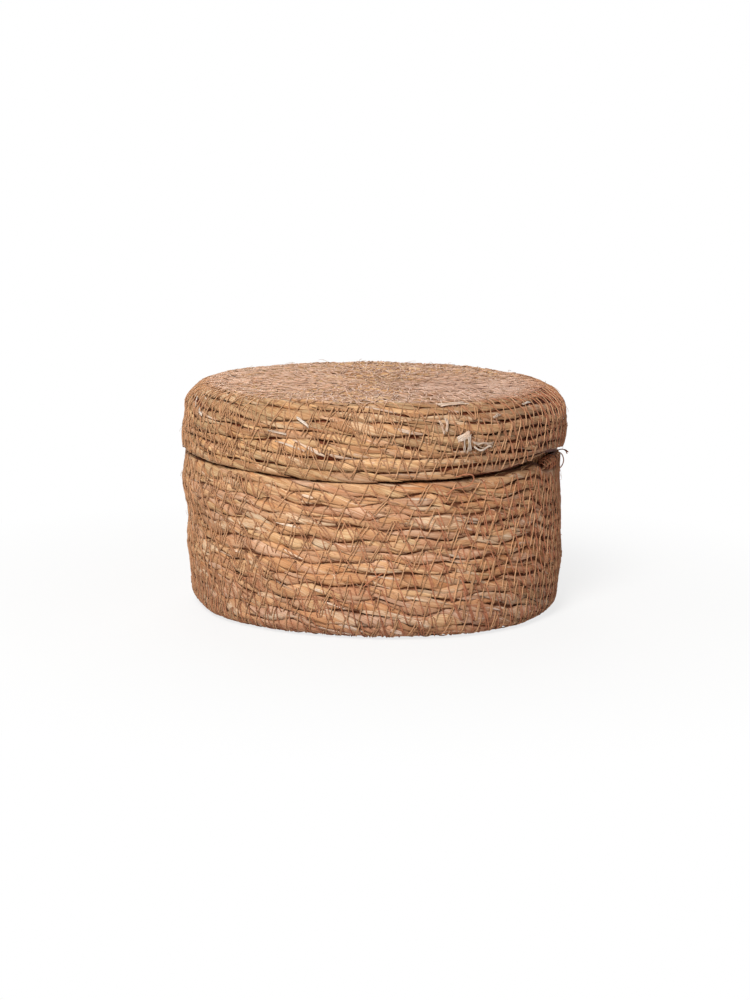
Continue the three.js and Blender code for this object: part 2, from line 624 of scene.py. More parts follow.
class Bundle:
    """Gathers the closed tubes that make one piece, with what its finish reads at each point."""

    def __init__(self):
        self.points = []
        self.quads = []
        self.caps = []
        self.tints = []
        self.grains = []
        self.depths = []
        self.count = 0

    def add_tube(self, rings, tint, grain, depth):
        """rings is steps by sides by 3, in millimetres; tint, grain and depth are given at each point."""
        steps, sides = rings.shape[:2]
        index = self.count + np.arange(steps * sides).reshape(steps, sides)
        after = np.roll(index, -1, axis=1)
        quads = np.stack([index[:-1], after[:-1], after[1:], index[1:]], -1).reshape(-1, 4)
        self.quads.append(quads)
        self.caps.append(index[0, ::-1])
        self.caps.append(index[-1])
        self.points.append(rings.reshape(-1, 3))
        self.tints.append(np.broadcast_to(tint, (steps, sides, 3)).reshape(-1, 3))
        self.grains.append(np.broadcast_to(grain, (steps, sides, 3)).reshape(-1, 3))
        self.depths.append(np.broadcast_to(depth, (steps, sides)).reshape(-1))
        self.count += steps * sides

    def mesh(self, name):
        points = np.concatenate(self.points) * MM
        quads = np.concatenate(self.quads)
        corners = np.concatenate([quads.ravel()] + self.caps)
        sizes = np.array([4] * len(quads) + [len(cap) for cap in self.caps])
        mesh = bpy.data.meshes.new(name)
        mesh.vertices.add(len(points))
        mesh.vertices.foreach_set("co", points.ravel())
        mesh.loops.add(len(corners))
        mesh.loops.foreach_set("vertex_index", corners)
        mesh.polygons.add(len(sizes))
        mesh.polygons.foreach_set("loop_start", np.concatenate([[0], np.cumsum(sizes)[:-1]]))
        mesh.polygons.foreach_set("use_smooth", np.ones(len(sizes), bool))
        mesh.update(calc_edges=True)
        tints = np.concatenate(self.tints)
        readings = [
            ("tint", "FLOAT_COLOR", "color", np.concatenate([tints, np.ones((len(tints), 1))], 1)),
            ("grain", "FLOAT_VECTOR", "vector", np.concatenate(self.grains)),
            ("depth", "FLOAT", "value", np.concatenate(self.depths)),
        ]
        for reading, kind, field, values in readings:
            mesh.attributes.new(reading, kind, "POINT").data.foreach_set(field, values.ravel())
        return mesh


def grain_at(along, across, number):
    """What a finish reads at a place: how far along and across a leaf or thread, and which one it is."""
    return np.stack(np.broadcast_arrays(along[:, None], across, float(number)), -1)


# Leaves: the length of one twist of the pair, the length of a leaf and how finely both are drawn
LAY = 50.0
LEAF_LENGTH = (60.0, 190.0)
RING_SPACING = 2.4

# Leaves of a strand: two leaves lie round each other, each folded to a little more than half of the strand
LEAF_EDGES = (-104, 98)
LEAF_ARC = np.radians(np.linspace(*LEAF_EDGES, 9))
LEAF_FOLD = 0.22
PLY_RADIUS = 0.62
PLY_CENTRE = 0.42
PLY_ROUNDNESS = 0.6

# Edges of a leaf: degrees from its middle at which one lifts and the other is tucked in, and by what shares
LIFT_FROM = 40
LIFT_SHARE = 0.13
TUCK_FROM = 50
TUCK_SHARE = 0.08

# The round section of a strand is pressed flat by this power
PRESSED = 0.55


def leaf_section():
    """Reach of a leaf from the strand's middle, as a share of it: one edge lifted, and one tucked in."""
    ply = PLY_CENTRE * np.cos(LEAF_ARC) + np.sqrt(PLY_RADIUS**2 - (PLY_CENTRE * np.sin(LEAF_ARC)) ** 2)
    reach = 1 - PLY_ROUNDNESS + PLY_ROUNDNESS * ply / (PLY_CENTRE + PLY_RADIUS)
    lifted = smoothstep((np.degrees(LEAF_ARC) - LIFT_FROM) / (LEAF_EDGES[1] - LIFT_FROM))
    tucked = smoothstep((-np.degrees(LEAF_ARC) - TUCK_FROM) / (-LEAF_EDGES[0] - TUCK_FROM))
    return reach + LIFT_SHARE * lifted - TUCK_SHARE * tucked, tucked


LEAF_REACH, LEAF_TUCK = leaf_section()


def flattened(height):
    """The height of a round section, from -1 to 1, pressed flat: fuller at the shoulders."""
    return np.sign(height) * np.abs(height) ** PRESSED


# Core of a strand: how finely it is drawn, the least radius by which its steps are counted, and how far it
# keeps from the rim
CORE_SPACING = 5.0
CORE_TIGHTEST = 14.0
CORE_RIM = 0.3

# Its sides, its width as a share of the course, how much wider it is at a centre, and the reach of its grain
CORE_SIDES = 6
CORE_WIDTH = 1.45
CORE_CENTRE = 0.6
CORE_GRAIN = 3


def add_core(bundle, winding, first, last):
    """Adds the broken leaf in the middle of a strand, which fills the joint to the next turn."""
    back, along = winding.spaced(first, last, CORE_SPACING, CORE_TIGHTEST)
    length = winding.length(back)
    strays_out, strays_across = winding.strand_offset(back)
    thickness, dark = winding.strand.core
    turn = TAU * np.arange(CORE_SIDES) / CORE_SIDES
    tip, bend = winding.taper(first, along)
    share = CORE_WIDTH * winding.between_joints(back) + CORE_CENTRE * hump(length, 0, winding.course)
    across = (tip * share)[:, None] * winding.course / 2 * np.cos(turn)
    out = tip[:, None] * thickness * winding.half * np.sin(turn) + strays_out[:, None]
    edge = np.minimum((length + strays_across + bend)[:, None] + across, winding.rim - CORE_RIM)
    rings = winding.surface.place(edge, out, winding.angle(back)[:, None])
    # The core takes painted shade on the side away from the key lamp, and painted crevice shade where it
    # fills the joint
    tint = winding.leaves[0] * winding.tone(back)[:, None]
    bundle.add_tube(rings, tint, grain_at(along, CORE_GRAIN * np.cos(turn), 0), dark)


# Sways of a leaf: shortest and longest wave, and reach, in radians of twist or as a share
TWIST_SWAY = (60, 320, 1.2)
WIDTH_SWAY = (11, 70, 0.12)
CREASE_SWAY = (9, 45, 0.08)

# A leaf is wider by this share where it faces out, and narrower where it faces the next turn
LEAF_OVAL = 0.16

# How far a leaf's end slants along the strand for each millimetre round it, how far before the strand's end
# the first leaf begins, and how light or dark a leaf is
LEAF_SLANT = 5
LEAF_BEFORE = 30
LEAF_SHADES = (0.84, 1.02)

# A leaf takes painted shade in the joint, below this share of the strand's thickness, and by a share at its
# tucked edge. The two leaves of a pair have grains this far apart
LEAF_SHADOW = 0.52
TUCK_SHADOW = 0.8
PAIR_GRAIN = 37


def leaf_tints(rng, along, leaves):
    """A colour for each place along a strand, which changes from leaf to leaf."""
    ends = np.cumsum(rng.uniform(*LEAF_LENGTH, int(along.max() / LEAF_LENGTH[0]) + 3))
    picks = np.array(leaves)[rng.integers(0, len(leaves), len(ends) + 1)]
    picks = picks * rng.uniform(*LEAF_SHADES, (len(picks), 1))
    return picks[np.searchsorted(ends, along)]


def add_strand(bundle, winding, first, last, seed):
    """Adds the pair of leaves of one stretch of strand, between two places counted in turns from its end."""
    rng = np.random.default_rng(seed)
    back, along = winding.spaced(first, last, RING_SPACING)
    length = winding.length(back)
    strays_out, strays_across = winding.strand_offset(back)
    twist = TAU * along / LAY + wander(rng, *TWIST_SWAY)(along)
    tip, bend = winding.taper(first, along)
    plump = winding.strand.plump + wander(rng, *WIDTH_SWAY)(along)
    width = winding.course / 2 * plump * at_least(TIP_WIDTH, tip) * winding.fullness(back)
    face = winding.face(length) * at_least(TIP_FACE, tip)
    strays_across = strays_across + bend
    for leaf in range(2):
        toward = twist + leaf * math.pi
        half_width = width * (1 - LEAF_OVAL * np.cos(2 * toward))
        around = toward[:, None] + LEAF_ARC
        creases = np.stack([wander(rng, *CREASE_SWAY)(along) for _ in LEAF_ARC], 1)
        reach = LEAF_REACH * (1 + creases)
        across = half_width[:, None] * reach * np.cos(around)
        out = face[:, None] * reach * flattened(np.sin(around))
        fold_across = LEAF_FOLD * half_width * np.cos(toward)
        fold_out = LEAF_FOLD * face * np.sin(toward)
        across = np.concatenate([across, fold_across[:, None]], 1) + strays_across[:, None]
        out = np.concatenate([out, fold_out[:, None]], 1) + strays_out[:, None]
        rings = winding.surface.place(length[:, None] + across, out, winding.angle(back)[:, None])
        spread = np.append(LEAF_ARC * winding.half, 0.0)
        tint = leaf_tints(rng, along[:, None] + LEAF_SLANT * spread + LEAF_BEFORE, winding.leaves)
        # Painted shade where the leaf turns down into the joint, and on its tucked edge
        crevice_shade = 1 - smoothstep(np.abs(reach * np.sin(around)) / LEAF_SHADOW)
        depth = np.concatenate([np.maximum(crevice_shade, TUCK_SHADOW * LEAF_TUCK), np.ones((len(back), 1))], 1)
        grain = grain_at(along, spread, seed + leaf * PAIR_GRAIN)
        # The leaves take painted shade on the side away from the key lamp
        bundle.add_tube(rings, tint * winding.tone(back)[:, None], grain, depth)


# Leaves that lie over the outside of a strand: across each one, from edge to edge
WRAP_ACROSS = np.linspace(-1, 1, 5)

# Their thickness as a share of the strand's, how finely they are drawn, with how many rings at least, how
# often they lie and how far they stray from there, as a share
WRAP_THICKNESS = 0.1
WRAP_SPACING = 2.8
WRAP_FEWEST = 7
WRAP_EVERY = 10.5
WRAP_STRAY = 0.3

# How far along the strand one goes round it, how blunt its ends are, how far its edges curl down, and the
# shares of its length that its ends come to
WRAP_LAY = (50.0, 130.0)
WRAP_BLUNT = (0.2, 0.6)
WRAP_CURL = (-0.2, 0.6)
WRAP_ENDS = (0.015, 0.985)

# Height of its ends over the strand's middle and how much higher it lies between them, as shares of the
# strand's thickness, its reach to each side as a share of the course, its creases and their slant
WRAP_HEIGHT = 0.94
WRAP_RISE = 0.06
WRAP_REACH = 0.55
WRAP_CRUMPLE = (6, 24, 0.025)
WRAP_CRUMPLE_ACROSS = 7

# It takes painted shade in the joint, below this share of the strand's thickness, and by a share towards its
# ends
WRAP_SHADOW = 0.5
WRAP_END_SHADOW = 0.7
WRAP_END_REACH = 0.3


def add_wrap(bundle, winding, back, shift, span, turn, half_arc, lift, tint, seed):
    """Adds one leaf that lies slantwise over a strand, or shifted off it, with its ends tucked in."""
    rng = np.random.default_rng(seed)
    steps = max(int(span / WRAP_SPACING), WRAP_FEWEST)
    share = 0.5 - 0.5 * np.cos(np.linspace(0, math.pi, steps))
    radius = winding.surface.radius(winding.length(np.array([back])))[0]
    backs = back + share * span / (TAU * radius)
    length = winding.length(backs)
    strays_out, strays_across = winding.strand_offset(backs)
    centre = turn + TAU * (share - 0.5) * span / rng.uniform(*WRAP_LAY)
    full = np.sin(math.pi * np.clip(share, *WRAP_ENDS))
    half_arc = half_arc * full ** rng.uniform(*WRAP_BLUNT)
    around = centre[:, None] + half_arc[:, None] * WRAP_ACROSS
    crumple = wander(rng, *WRAP_CRUMPLE)(share[:, None] * span + WRAP_CRUMPLE_ACROSS * WRAP_ACROSS)
    crown = lift * (1 - rng.uniform(*WRAP_CURL) * WRAP_ACROSS**2)
    above = WRAP_HEIGHT + (WRAP_RISE + crown) * full[:, None] ** 0.5 + crumple
    reach = np.concatenate([above, above[:, ::-1] - WRAP_THICKNESS], 1)
    around = np.concatenate([around, around[:, ::-1]], 1)
    width = winding.course * winding.fullness(backs)
    across = width[:, None] * (WRAP_REACH * reach * np.cos(around) + shift) + strays_across[:, None]
    out = winding.face(length)[:, None] * reach * flattened(np.sin(around)) + strays_out[:, None]
    rings = winding.surface.place(length[:, None] + across, out, winding.angle(backs)[:, None])
    spread = np.concatenate([WRAP_ACROSS, WRAP_ACROSS[::-1]]) * half_arc.max() * winding.half
    # Painted shade where the leaf turns down into the joint, and towards its ends
    crevice_shade = 1 - smoothstep(np.abs(reach * np.sin(around)) / WRAP_SHADOW)
    depth = np.maximum(crevice_shade, WRAP_END_SHADOW * (1 - smoothstep(full / WRAP_END_REACH))[:, None])
    grain = grain_at(share * span, spread, seed)
    # The leaf takes painted shade on the side away from the key lamp
    bundle.add_tube(rings, tint * winding.tone(backs)[:, None], grain, depth)


# Ranges of a usual leaf: how high its middle lifts, where it faces, as a mean and spread in degrees, its
# length, half its width in degrees round the strand, and how light or dark it is
WRAP_LIFT = (0.0, 0.09)
WRAP_FACING = (90, 34)
WRAP_SPAN = (12, 40)
WRAP_ARC = (24, 58)
WRAP_SHADES = (0.78, 1.0)

# The same of the narrow dry slivers, and their share
DRY_SHARE = 0.11
DRY_SPAN = (6, 18)
DRY_ARC = (6, 16)
DRY_SHADES = (0.7, 1.0)

# The same of leaves that bridge the joint to the turn above, how many turns from the end they begin and how
# far off they lie in courses, and how many more and how much longer they are at the foot of the box
BRIDGE_SHARE = 0.3
BRIDGE_MORE = 0.46
BRIDGE_FROM = 1.2
BRIDGE_SPAN = (9, 24)
BRIDGE_LONGER = 0.6
BRIDGE_ARC = (18, 36)
BRIDGE_FACING = (90, 14)
BRIDGE_SHIFT = (0.3, 0.55)
BRIDGE_LIFT = -0.07


def add_wraps(bundle, winding, first, last, seed):
    """Scatters leaves, and narrow dry slivers among them, along the outside of a strand, not on its tip."""
    rng = np.random.default_rng(seed)
    tip = winding.strand.tip / (TAU * TURN_RADIUS)
    places, _ = winding.spaced(max(first, tip), last, WRAP_EVERY)
    for number, back in enumerate(places[1:-1]):
        back = back + rng.normal(0, WRAP_STRAY) * (places[1] - places[0])
        kind = rng.random()
        shift = 0.0
        lift = rng.uniform(*WRAP_LIFT)
        turn = math.radians(rng.normal(*WRAP_FACING))
        span = rng.uniform(*WRAP_SPAN)
        half_arc = math.radians(rng.uniform(*WRAP_ARC))
        tint = winding.leaves[rng.integers(len(winding.leaves))] * rng.uniform(*WRAP_SHADES)
        low = winding.low(back)
        if kind < DRY_SHARE:
            span = rng.uniform(*DRY_SPAN)
            half_arc = math.radians(rng.uniform(*DRY_ARC))
            tint = linear(DRY_LEAF) * rng.uniform(*DRY_SHADES)
        elif kind < DRY_SHARE + BRIDGE_SHARE + BRIDGE_MORE * low and back > BRIDGE_FROM:
            span = rng.uniform(*BRIDGE_SPAN) * (1 + BRIDGE_LONGER * low)
            half_arc = math.radians(rng.uniform(*BRIDGE_ARC))
            turn = math.radians(rng.normal(*BRIDGE_FACING))
            shift = rng.uniform(*BRIDGE_SHIFT)
            lift = BRIDGE_LIFT
        add_wrap(bundle, winding, back, shift, span, turn, half_arc, lift, tint, seed + number)


# Sewing thread: its radius, its height over the leaves, the share of that on a floor, its sides and shades
THREAD_RADIUS = 0.29
THREAD_PROUD = 0.42
THREAD_FLOOR = 0.45
THREAD_SIDES = 5
THREAD_SHADES = (0.8, 1.12)

# Where a leg of the zigzag is drawn, as shares of it
LEG = np.array([0.0, 0.06, 0.16, 0.34, 0.5, 0.66, 0.84, 0.94])
LEG_END = np.minimum(LEG, 1 - LEG)

# How deep a leg dips in at its ends and sags over the joint, how its sag differs, and its ends' painted
# shade
DIP = 2.4 * hump(LEG_END, 0, 0.075)
SAG = 0.25 * hump(LEG, 0.5, 0.13)
SAG_RANGE = (0.2, 1.6)
LEG_SHADOW = smoothstep((0.2 - LEG_END) / 0.14)

# A leg follows the strays of the two turns that it joins this share of a course past their middles
STRAY_PAST = 0.5

# A small turn, in radians, from a thread to a place beside it
BESIDE = 0.001

# The side of the wall that a thread shows on
OUTSIDE = 1
INSIDE = -1

# Keeps a division from meeting 0
TINY = 1e-9


def unit(vectors):
    """Each vector at a length of 1."""
    return vectors / (np.linalg.norm(vectors, axis=1, keepdims=True) + TINY)


def tube_rings(path, toward, radius, sides):
    """Round rings along a path, set out from a direction that it never runs along."""
    ahead = unit(np.gradient(path, axis=0))
    first = unit(np.cross(ahead, toward))
    second = np.cross(ahead, first)
    turn = TAU * np.arange(sides) / sides
    circle = first[:, None] * np.cos(turn)[:, None] + second[:, None] * np.sin(turn)[:, None]
    return path[:, None] + radius * circle


def add_thread(bundle, path, toward, radius, tint, number, depth):
    """Adds one thread along a path."""
    rings = tube_rings(path, toward, radius, THREAD_SIDES)
    run = np.concatenate([[0], np.cumsum(np.linalg.norm(np.diff(path, axis=0), axis=1))])
    turn = np.arange(THREAD_SIDES) / THREAD_SIDES
    bundle.add_tube(rings, tint, grain_at(run, turn, number), depth)


def add_zigzag(bundle, winding, corners, reach, rng, seed, side):
    """Adds one length of thread that runs from corner to corner across the joint of two turns."""
    legs = len(corners) - 1
    back = corners[:-1, None] * (1 - LEG) + corners[1:, None] * LEG
    across = reach[:-1, None] * (1 - LEG) + reach[1:, None] * LEG
    back = np.maximum(back, 1.0)
    lower = winding.length(back)
    upper = winding.length(back - 1)
    length = (lower + upper) / 2 + across
    blend = np.clip((length - lower) / (upper - lower), -STRAY_PAST, 1 + STRAY_PAST)
    low_out, low_across = winding.strand_offset(back)
    high_out, high_across = winding.strand_offset(back - 1)
    strays_out = low_out + (high_out - low_out) * blend
    strays_across = low_across + (high_across - low_across) * blend
    proud = winding.face(length) + THREAD_PROUD * at_least(THREAD_FLOOR, winding.surface.upright(length))
    out = strays_out + side * (proud - DIP - SAG * rng.uniform(*SAG_RANGE, (legs, 1)))
    length = np.minimum(length + strays_across, winding.edge(back - 1) - 2 * THREAD_RADIUS)
    angle = winding.angle(back)
    path = winding.surface.place(length, out, angle).reshape(-1, 3)
    beside = winding.surface.place(length, out, angle + BESIDE).reshape(-1, 3)
    # Legs that slant one way take a painted pink sheen, standing in for how a twisted thread catches light
    falling = (reach[1:] < reach[:-1])[:, None, None]
    pink = winding.pink_sheen(back)[..., None]
    tint = linear(KHAKI_THREAD) + (linear(PINK_THREAD) - linear(KHAKI_THREAD)) * pink * falling
    tint = tint * (1 - THREAD_DULL * (1 - pink))
    if side == OUTSIDE:
        tint = tint + (linear(PALE_THREAD) - tint) * winding.paleness(length, angle)[..., None]
    tint = tint * rng.uniform(*THREAD_SHADES, (legs, 1, 1))
    # Threads take a share of the leaves' painted shade on the side away from the key lamp
    tint = (tint * winding.tone(back, THREAD_TONE, THREAD_FOOT_TONE)).reshape(-1, 1, 3)
    add_thread(bundle, path, beside - path, THREAD_RADIUS, tint, seed, np.tile(LEG_SHADOW, legs)[:, None])


# The first corner of a row of stitches, in turns from the strand's end, and how finely the row is measured
SEWN_FROM = 1.02
SEWN_SPACING = 1.0

# Sways of a row: shortest and longest wave, and reach, across in courses and along in corners
ROW_ACROSS = (50, 400, 0.16)
ROW_ALONG = (90, 420, 1.6)

# How far corners stray along the row, in corners, and how far a leg swings, as a mean and spread in courses
CORNER_STRAY = 0.15
LEG_SWING = (1.03, 0.13)

# Stretches that were sewn twice: corners from one to the next, their number of corners, how far the second
# thread lies off and its corners stray, and its swing
TWICE_APART = (4, 32)
TWICE_CORNERS = (2, 9)
TWICE_OFF = (0.15, 0.5)
TWICE_STRAY = 0.08
TWICE_SWING = (0.75, 1.1)


def add_stitches(bundle, winding, first, last, seed, side):
    """Adds the zigzag that sews each turn to the next one, and the stretches where it was sewn twice."""
    rng = np.random.default_rng(seed)
    fine, walked = winding.spaced(max(first, SEWN_FROM), last, SEWN_SPACING)
    closer = np.cumsum(winding.closeness(fine)[1:] * np.diff(walked))
    sewn = np.concatenate([[0], closer]) / (winding.strand.stitch / 2)
    corner = np.linspace(0, sewn[-1], int(sewn[-1]))
    corners = np.interp(corner, sewn, fine)
    along = np.interp(corner, sewn, walked)
    gap = np.gradient(corners)
    drift = wander(rng, *ROW_ACROSS)(along)
    strays = rng.normal(0, CORNER_STRAY, len(corners))
    corners = corners + (strays + wander(rng, *ROW_ALONG)(along)) * gap
    swing = winding.course * rng.normal(*LEG_SWING, len(corners))
    swing[::2] *= -1
    add_zigzag(bundle, winding, corners, swing + drift * winding.course, rng, seed, side)
    start = 0
    while True:
        start += int(rng.integers(*TWICE_APART))
        end = start + int(rng.integers(*TWICE_CORNERS))
        if end >= len(corners):
            break
        off = rng.uniform(*TWICE_OFF) * rng.choice([-1, 1])
        again = corners[start:end] + (off + rng.normal(0, TWICE_STRAY, end - start)) * gap[start:end]
        reach = (swing[start:end] * rng.uniform(*TWICE_SWING)) + drift[start:end] * winding.course
        add_zigzag(bundle, winding, again, reach, rng, seed + start, side)
        start = end


def smooth_path(points, count):
    """A smooth line of count places through given points."""
    points = np.array(points, float)
    points = np.concatenate([2 * points[:1] - points[1:2], points, 2 * points[-1:] - points[-2:-1]])
    reach = np.linspace(0, len(points) - 3, count)
    first = np.minimum(reach.astype(int), len(points) - 4)
    part = (reach - first)[:, None]
    a, b, c, d = (points[first + step] for step in range(4))
    return b + 0.5 * part * (c - a + part * (2 * a - 5 * b + 4 * c - d + part * (3 * (b - c) + d - a)))


# Loose threads: places drawn for each given point, and the way from a thread to a place beside it
LOOSE_STEPS = 6
LOOSE_BESIDE = (0.04, -0.03, 0.07)


def add_loose_thread(bundle, winding, points, radius, tint, seed):
    """Adds a thread along listed spots: degrees, millimetres from the rim, and out from the face."""
    spots = smooth_path(points, LOOSE_STEPS * len(points))
    path = winding.spot(*spots.T)
    beside = winding.spot(*(spots + LOOSE_BESIDE).T)
    add_thread(bundle, path, beside - path, radius, linear(tint), seed, 0.0)


# Filaments of a frayed strip: the width, thickness and height over the leaves of each, and how close
# they lie as a share of the width
FILAMENT_WIDTH = 0.52
FILAMENT_THICKNESS = 0.2
FILAMENT_HEIGHT = 0.5
FILAMENT_CLOSE = 0.75

# Section of a filament: to each side and up, as shares of its width and thickness, and the grain across it
FILAMENT_SECTION = [(0.5, 0), (0, 0.5), (-0.5, 0), (0, -0.5)]
FILAMENT_GRAIN = [-0.3, 0, 0.3, 0]

# Sways of a filament, to its side and up: waves as shares of its length, and reach
FILAMENT_ASIDE = (0.3, 1.2, 0.1)
FILAMENT_UP = (0.3, 1.2, 0.12)

# How finely a strip and its filaments are drawn, how ragged their ends are, and the length of the grain
STRIP_STEPS = 60
FILAMENT_STEPS = 14
RAGGED_START = 0.1
RAGGED_END = 0.16
STRIP_GRAIN = 20

# How light or dark a filament is, how light a strip is, and how much lighter for each millimetre of width
FILAMENT_SHADES = (0.78, 1.05)
STRIP_LIGHT = 0.6
STRIP_LIGHTER = 0.2


def add_strip(bundle, winding, points, width, tint, seed):
    """Adds a strip of dry leaf along listed spots, split lengthwise into filaments with ragged ends."""
    rng = np.random.default_rng(seed)
    degrees, distance, out = smooth_path(points, STRIP_STEPS).T
    around = np.radians(degrees) * winding.surface.radius(winding.rim - distance)
    ahead = unit(np.stack([np.gradient(around), np.gradient(distance)], 1))
    fine = np.linspace(0, 1, len(degrees))
    apart = FILAMENT_CLOSE * FILAMENT_WIDTH
    count = max(round(width / apart), 1)
    light = min(STRIP_LIGHT + STRIP_LIGHTER * width, 1)
    for filament in range(count):
        share = np.linspace(rng.uniform(0, RAGGED_START), 1 - rng.uniform(0, RAGGED_END), FILAMENT_STEPS)
        aside = (filament - (count - 1) / 2) * apart + wander(rng, *FILAMENT_ASIDE)(share)
        lift = np.interp(share, fine, out) + FILAMENT_HEIGHT + wander(rng, *FILAMENT_UP)(share)
        heading = np.stack([np.interp(share, fine, ahead[:, axis]) for axis in range(2)], 1)
        middle = np.stack([np.interp(share, fine, values) for values in (around, distance)], 1)
        edges = []
        for side, rise in FILAMENT_SECTION:
            moved = aside + side * FILAMENT_WIDTH
            along = middle[:, 1] + moved * heading[:, 0]
            turned = (middle[:, 0] - moved * heading[:, 1]) / winding.surface.radius(winding.rim - along)
            edges.append(winding.spot(np.degrees(turned), along, lift + rise * FILAMENT_THICKNESS))
        shade = linear(tint) * rng.uniform(*FILAMENT_SHADES) * light
        bundle.add_tube(np.stack(edges, 1), shade, grain_at(share * STRIP_GRAIN, FILAMENT_GRAIN, seed), 0.0)


# Stray fibres: length, height, depth of the root, radius, and how far root and tip at least are from the rim
FIBRE_LENGTH = (2.5, 9)
FIBRE_LIFT = (0.3, 2.2)
FIBRE_ROOT = 0.4
FIBRE_RADIUS = (0.06, 0.11)
FIBRE_FROM_RIM = 1
FIBRE_RIM = 0.2

# How they bend, in radians to the side and up, how they are drawn, and how light or dark they are
FIBRE_BEND = 0.8
FIBRE_ARCH = (1.2, 2.6)
FIBRE_STEPS = 6
FIBRE_SIDES = 3
FIBRE_SHADES = (0.7, 1.1)


def add_fibres(bundle, winding, count, deepest, seed):
    """Scatters stray fibres over the outside of a body, from its rim to a distance along its profile."""
    rng = np.random.default_rng(seed)
    steps = np.linspace(0, 1, FIBRE_STEPS)
    for number in range(count):
        degrees = rng.uniform(0, 360)
        distance = rng.uniform(FIBRE_FROM_RIM, deepest)
        heading = rng.uniform(0, TAU)
        length = rng.uniform(*FIBRE_LENGTH)
        lift = rng.uniform(*FIBRE_LIFT)
        turn = math.degrees(1 / float(winding.surface.radius(np.array(winding.rim - distance))))
        bend = rng.normal(0, FIBRE_BEND) * steps**2
        across = degrees + turn * length * steps * np.cos(heading + bend)
        along = distance + length * steps * np.sin(heading + bend)
        out = lift * np.sin(steps * rng.uniform(*FIBRE_ARCH)) - FIBRE_ROOT
        path = winding.spot(across, np.maximum(along, FIBRE_RIM), out)
        aside = winding.spot(across - turn * math.sin(heading), along + math.cos(heading), out) - path
        rings = tube_rings(path, aside, rng.uniform(*FIBRE_RADIUS), FIBRE_SIDES)
        tint = winding.leaves[number % len(winding.leaves)] * rng.uniform(*FIBRE_SHADES)
        bundle.add_tube(rings, tint, np.array([0.0, 0.0, number]), 0.0)


class Value:
    """A socket that varies over a surface, so that shader sums are written as plain expressions."""

    def __init__(self, finish, socket):
        self.finish = finish
        self.socket = socket

    def maths(self, operation, first, second):
        return self.finish.node("ShaderNodeMath", {"operation": operation}, {0: first, 1: second})

    def __add__(self, other):
        return self.maths("ADD", self, other)

    def __radd__(self, other):
        return self.maths("ADD", other, self)

    def __mul__(self, other):
        return self.maths("MULTIPLY", self, other)

    def __rmul__(self, other):
        return self.maths("MULTIPLY", other, self)


class Finish:
    """The nodes that paint a material or the world."""

    def __init__(self, owner):
        owner.use_nodes = True
        self.tree = owner.node_tree
        self.tree.nodes.clear()

    def node(self, kind, settings=None, inputs=None, output=0):
        """A new node with its settings and the values or links of its sockets, as one of its outputs."""
        made = self.tree.nodes.new(kind)
        for name, value in (settings or {}).items():
            setattr(made, name, value)
        for name, value in (inputs or {}).items():
            if isinstance(value, Value):
                self.tree.links.new(value.socket, made.inputs[name])
            else:
                made.inputs[name].default_value = value
        return Value(self, made.outputs[output]) if made.outputs else None

    def beside(self, value, output):
        """Another output of the node that a value comes from."""
        return Value(self, value.socket.node.outputs[output])

    def reading(self, name, output):
        return self.node("ShaderNodeAttribute", {"attribute_name": name}, output=output)

    def readings(self):
        """Tint, grain and depth, which a mesh holds at each point."""
        return self.reading("tint", 0), self.reading("grain", 1), self.reading("depth", 2)

    def noise(self, place, stretch, detail, roughness):
        """Noise that changes at its own rate in each of the three directions of a place."""
        vector = self.node("ShaderNodeVectorMath", {"operation": "MULTIPLY"}, {0: place, 1: stretch})
        sockets = {"Vector": vector, "Scale": 1.0, "Detail": detail, "Roughness": roughness}
        return self.node("ShaderNodeTexNoise", None, sockets)

    def spread(self, value, low, high, to_low, to_high):
        sockets = {0: value, 1: low, 2: high, 3: to_low, 4: to_high}
        return self.node("ShaderNodeMapRange", {"clamp": True}, sockets)

    def mixed(self, blend, share, first, second):
        settings = {"data_type": "RGBA", "blend_type": blend}
        return self.node("ShaderNodeMix", settings, {0: share, 6: first, 7: second}, output=2)

    def shaded(self, colour, value, mask, shade):
        """A colour multiplied by a shade as far as a value, spread by the four numbers of a mask, says."""
        return self.mixed("MULTIPLY", self.spread(value, *mask), colour, opaque(shade))

    def surface(self, colour, roughness, specular, height, strength, distance):
        """Shader of a fibrous surface, with bumps from a height."""
        sockets = {"Strength": strength, "Distance": distance, "Height": height}
        normal = self.node("ShaderNodeBump", None, sockets)
        sockets = {"Base Color": colour, "Roughness": roughness, "Normal": normal}
        return self.node("ShaderNodeBsdfPrincipled", None, {**sockets, "Specular IOR Level": specular})

    def show(self, shader, output="ShaderNodeOutputMaterial"):
        self.node(output, None, {"Surface": shader})


def opaque(colour):
    return (*linear(colour), 1.0)


# Noises of leaf and thread: their rates along, across and from one to the next, then detail and roughness
VEINS = ((0.05, 3.2, 1.0), 3.0, 0.65)
BLOTCHES = ((0.06, 0.35, 1.0), 2.0, 0.55)
STREAKS = ((0.022, 1.1, 1.7), 2.0, 0.55)
WEAR = ((0.12, 0.5, 1.0), 2.0, 0.55)

# Masks of leaf and thread: the values that they spread from, and the shares that they spread to
VEIN_MASK = (0.36, 0.56, 0.75, 0.0)
BLOTCH_MASK = (0.35, 0.6, 0.6, 0.0)
STREAK_MASK = (0.64, 0.74, 0.0, 0.5)
CREVICE_PAINTED_SHADE_MASK = (0.1, 1.0, 0.0, 0.95)
PLY_MASK = (-1.0, 0.4, 0.4, 0.0)
WEAR_MASK = (0.35, 0.65, 0.5, 0.0)
DIP_PAINTED_SHADE_MASK = (0.0, 1.0, 0.0, 0.9)

# Roughness, how much rougher blotches are, shine, and the strength and height in metres of the bumps
LEAF_ROUGHNESS = 0.58
BLOTCH_ROUGHER = 0.2
LEAF_SHINE = 0.2
LEAF_BUMP = (0.6, 0.0004)
THREAD_ROUGHNESS = 0.6
THREAD_SHINE = 0.25
THREAD_BUMP = (0.5, 0.0002)

# Twists of a thread in a millimetre, and its plies
THREAD_TWIST = 1.4
THREAD_PLIES = 2


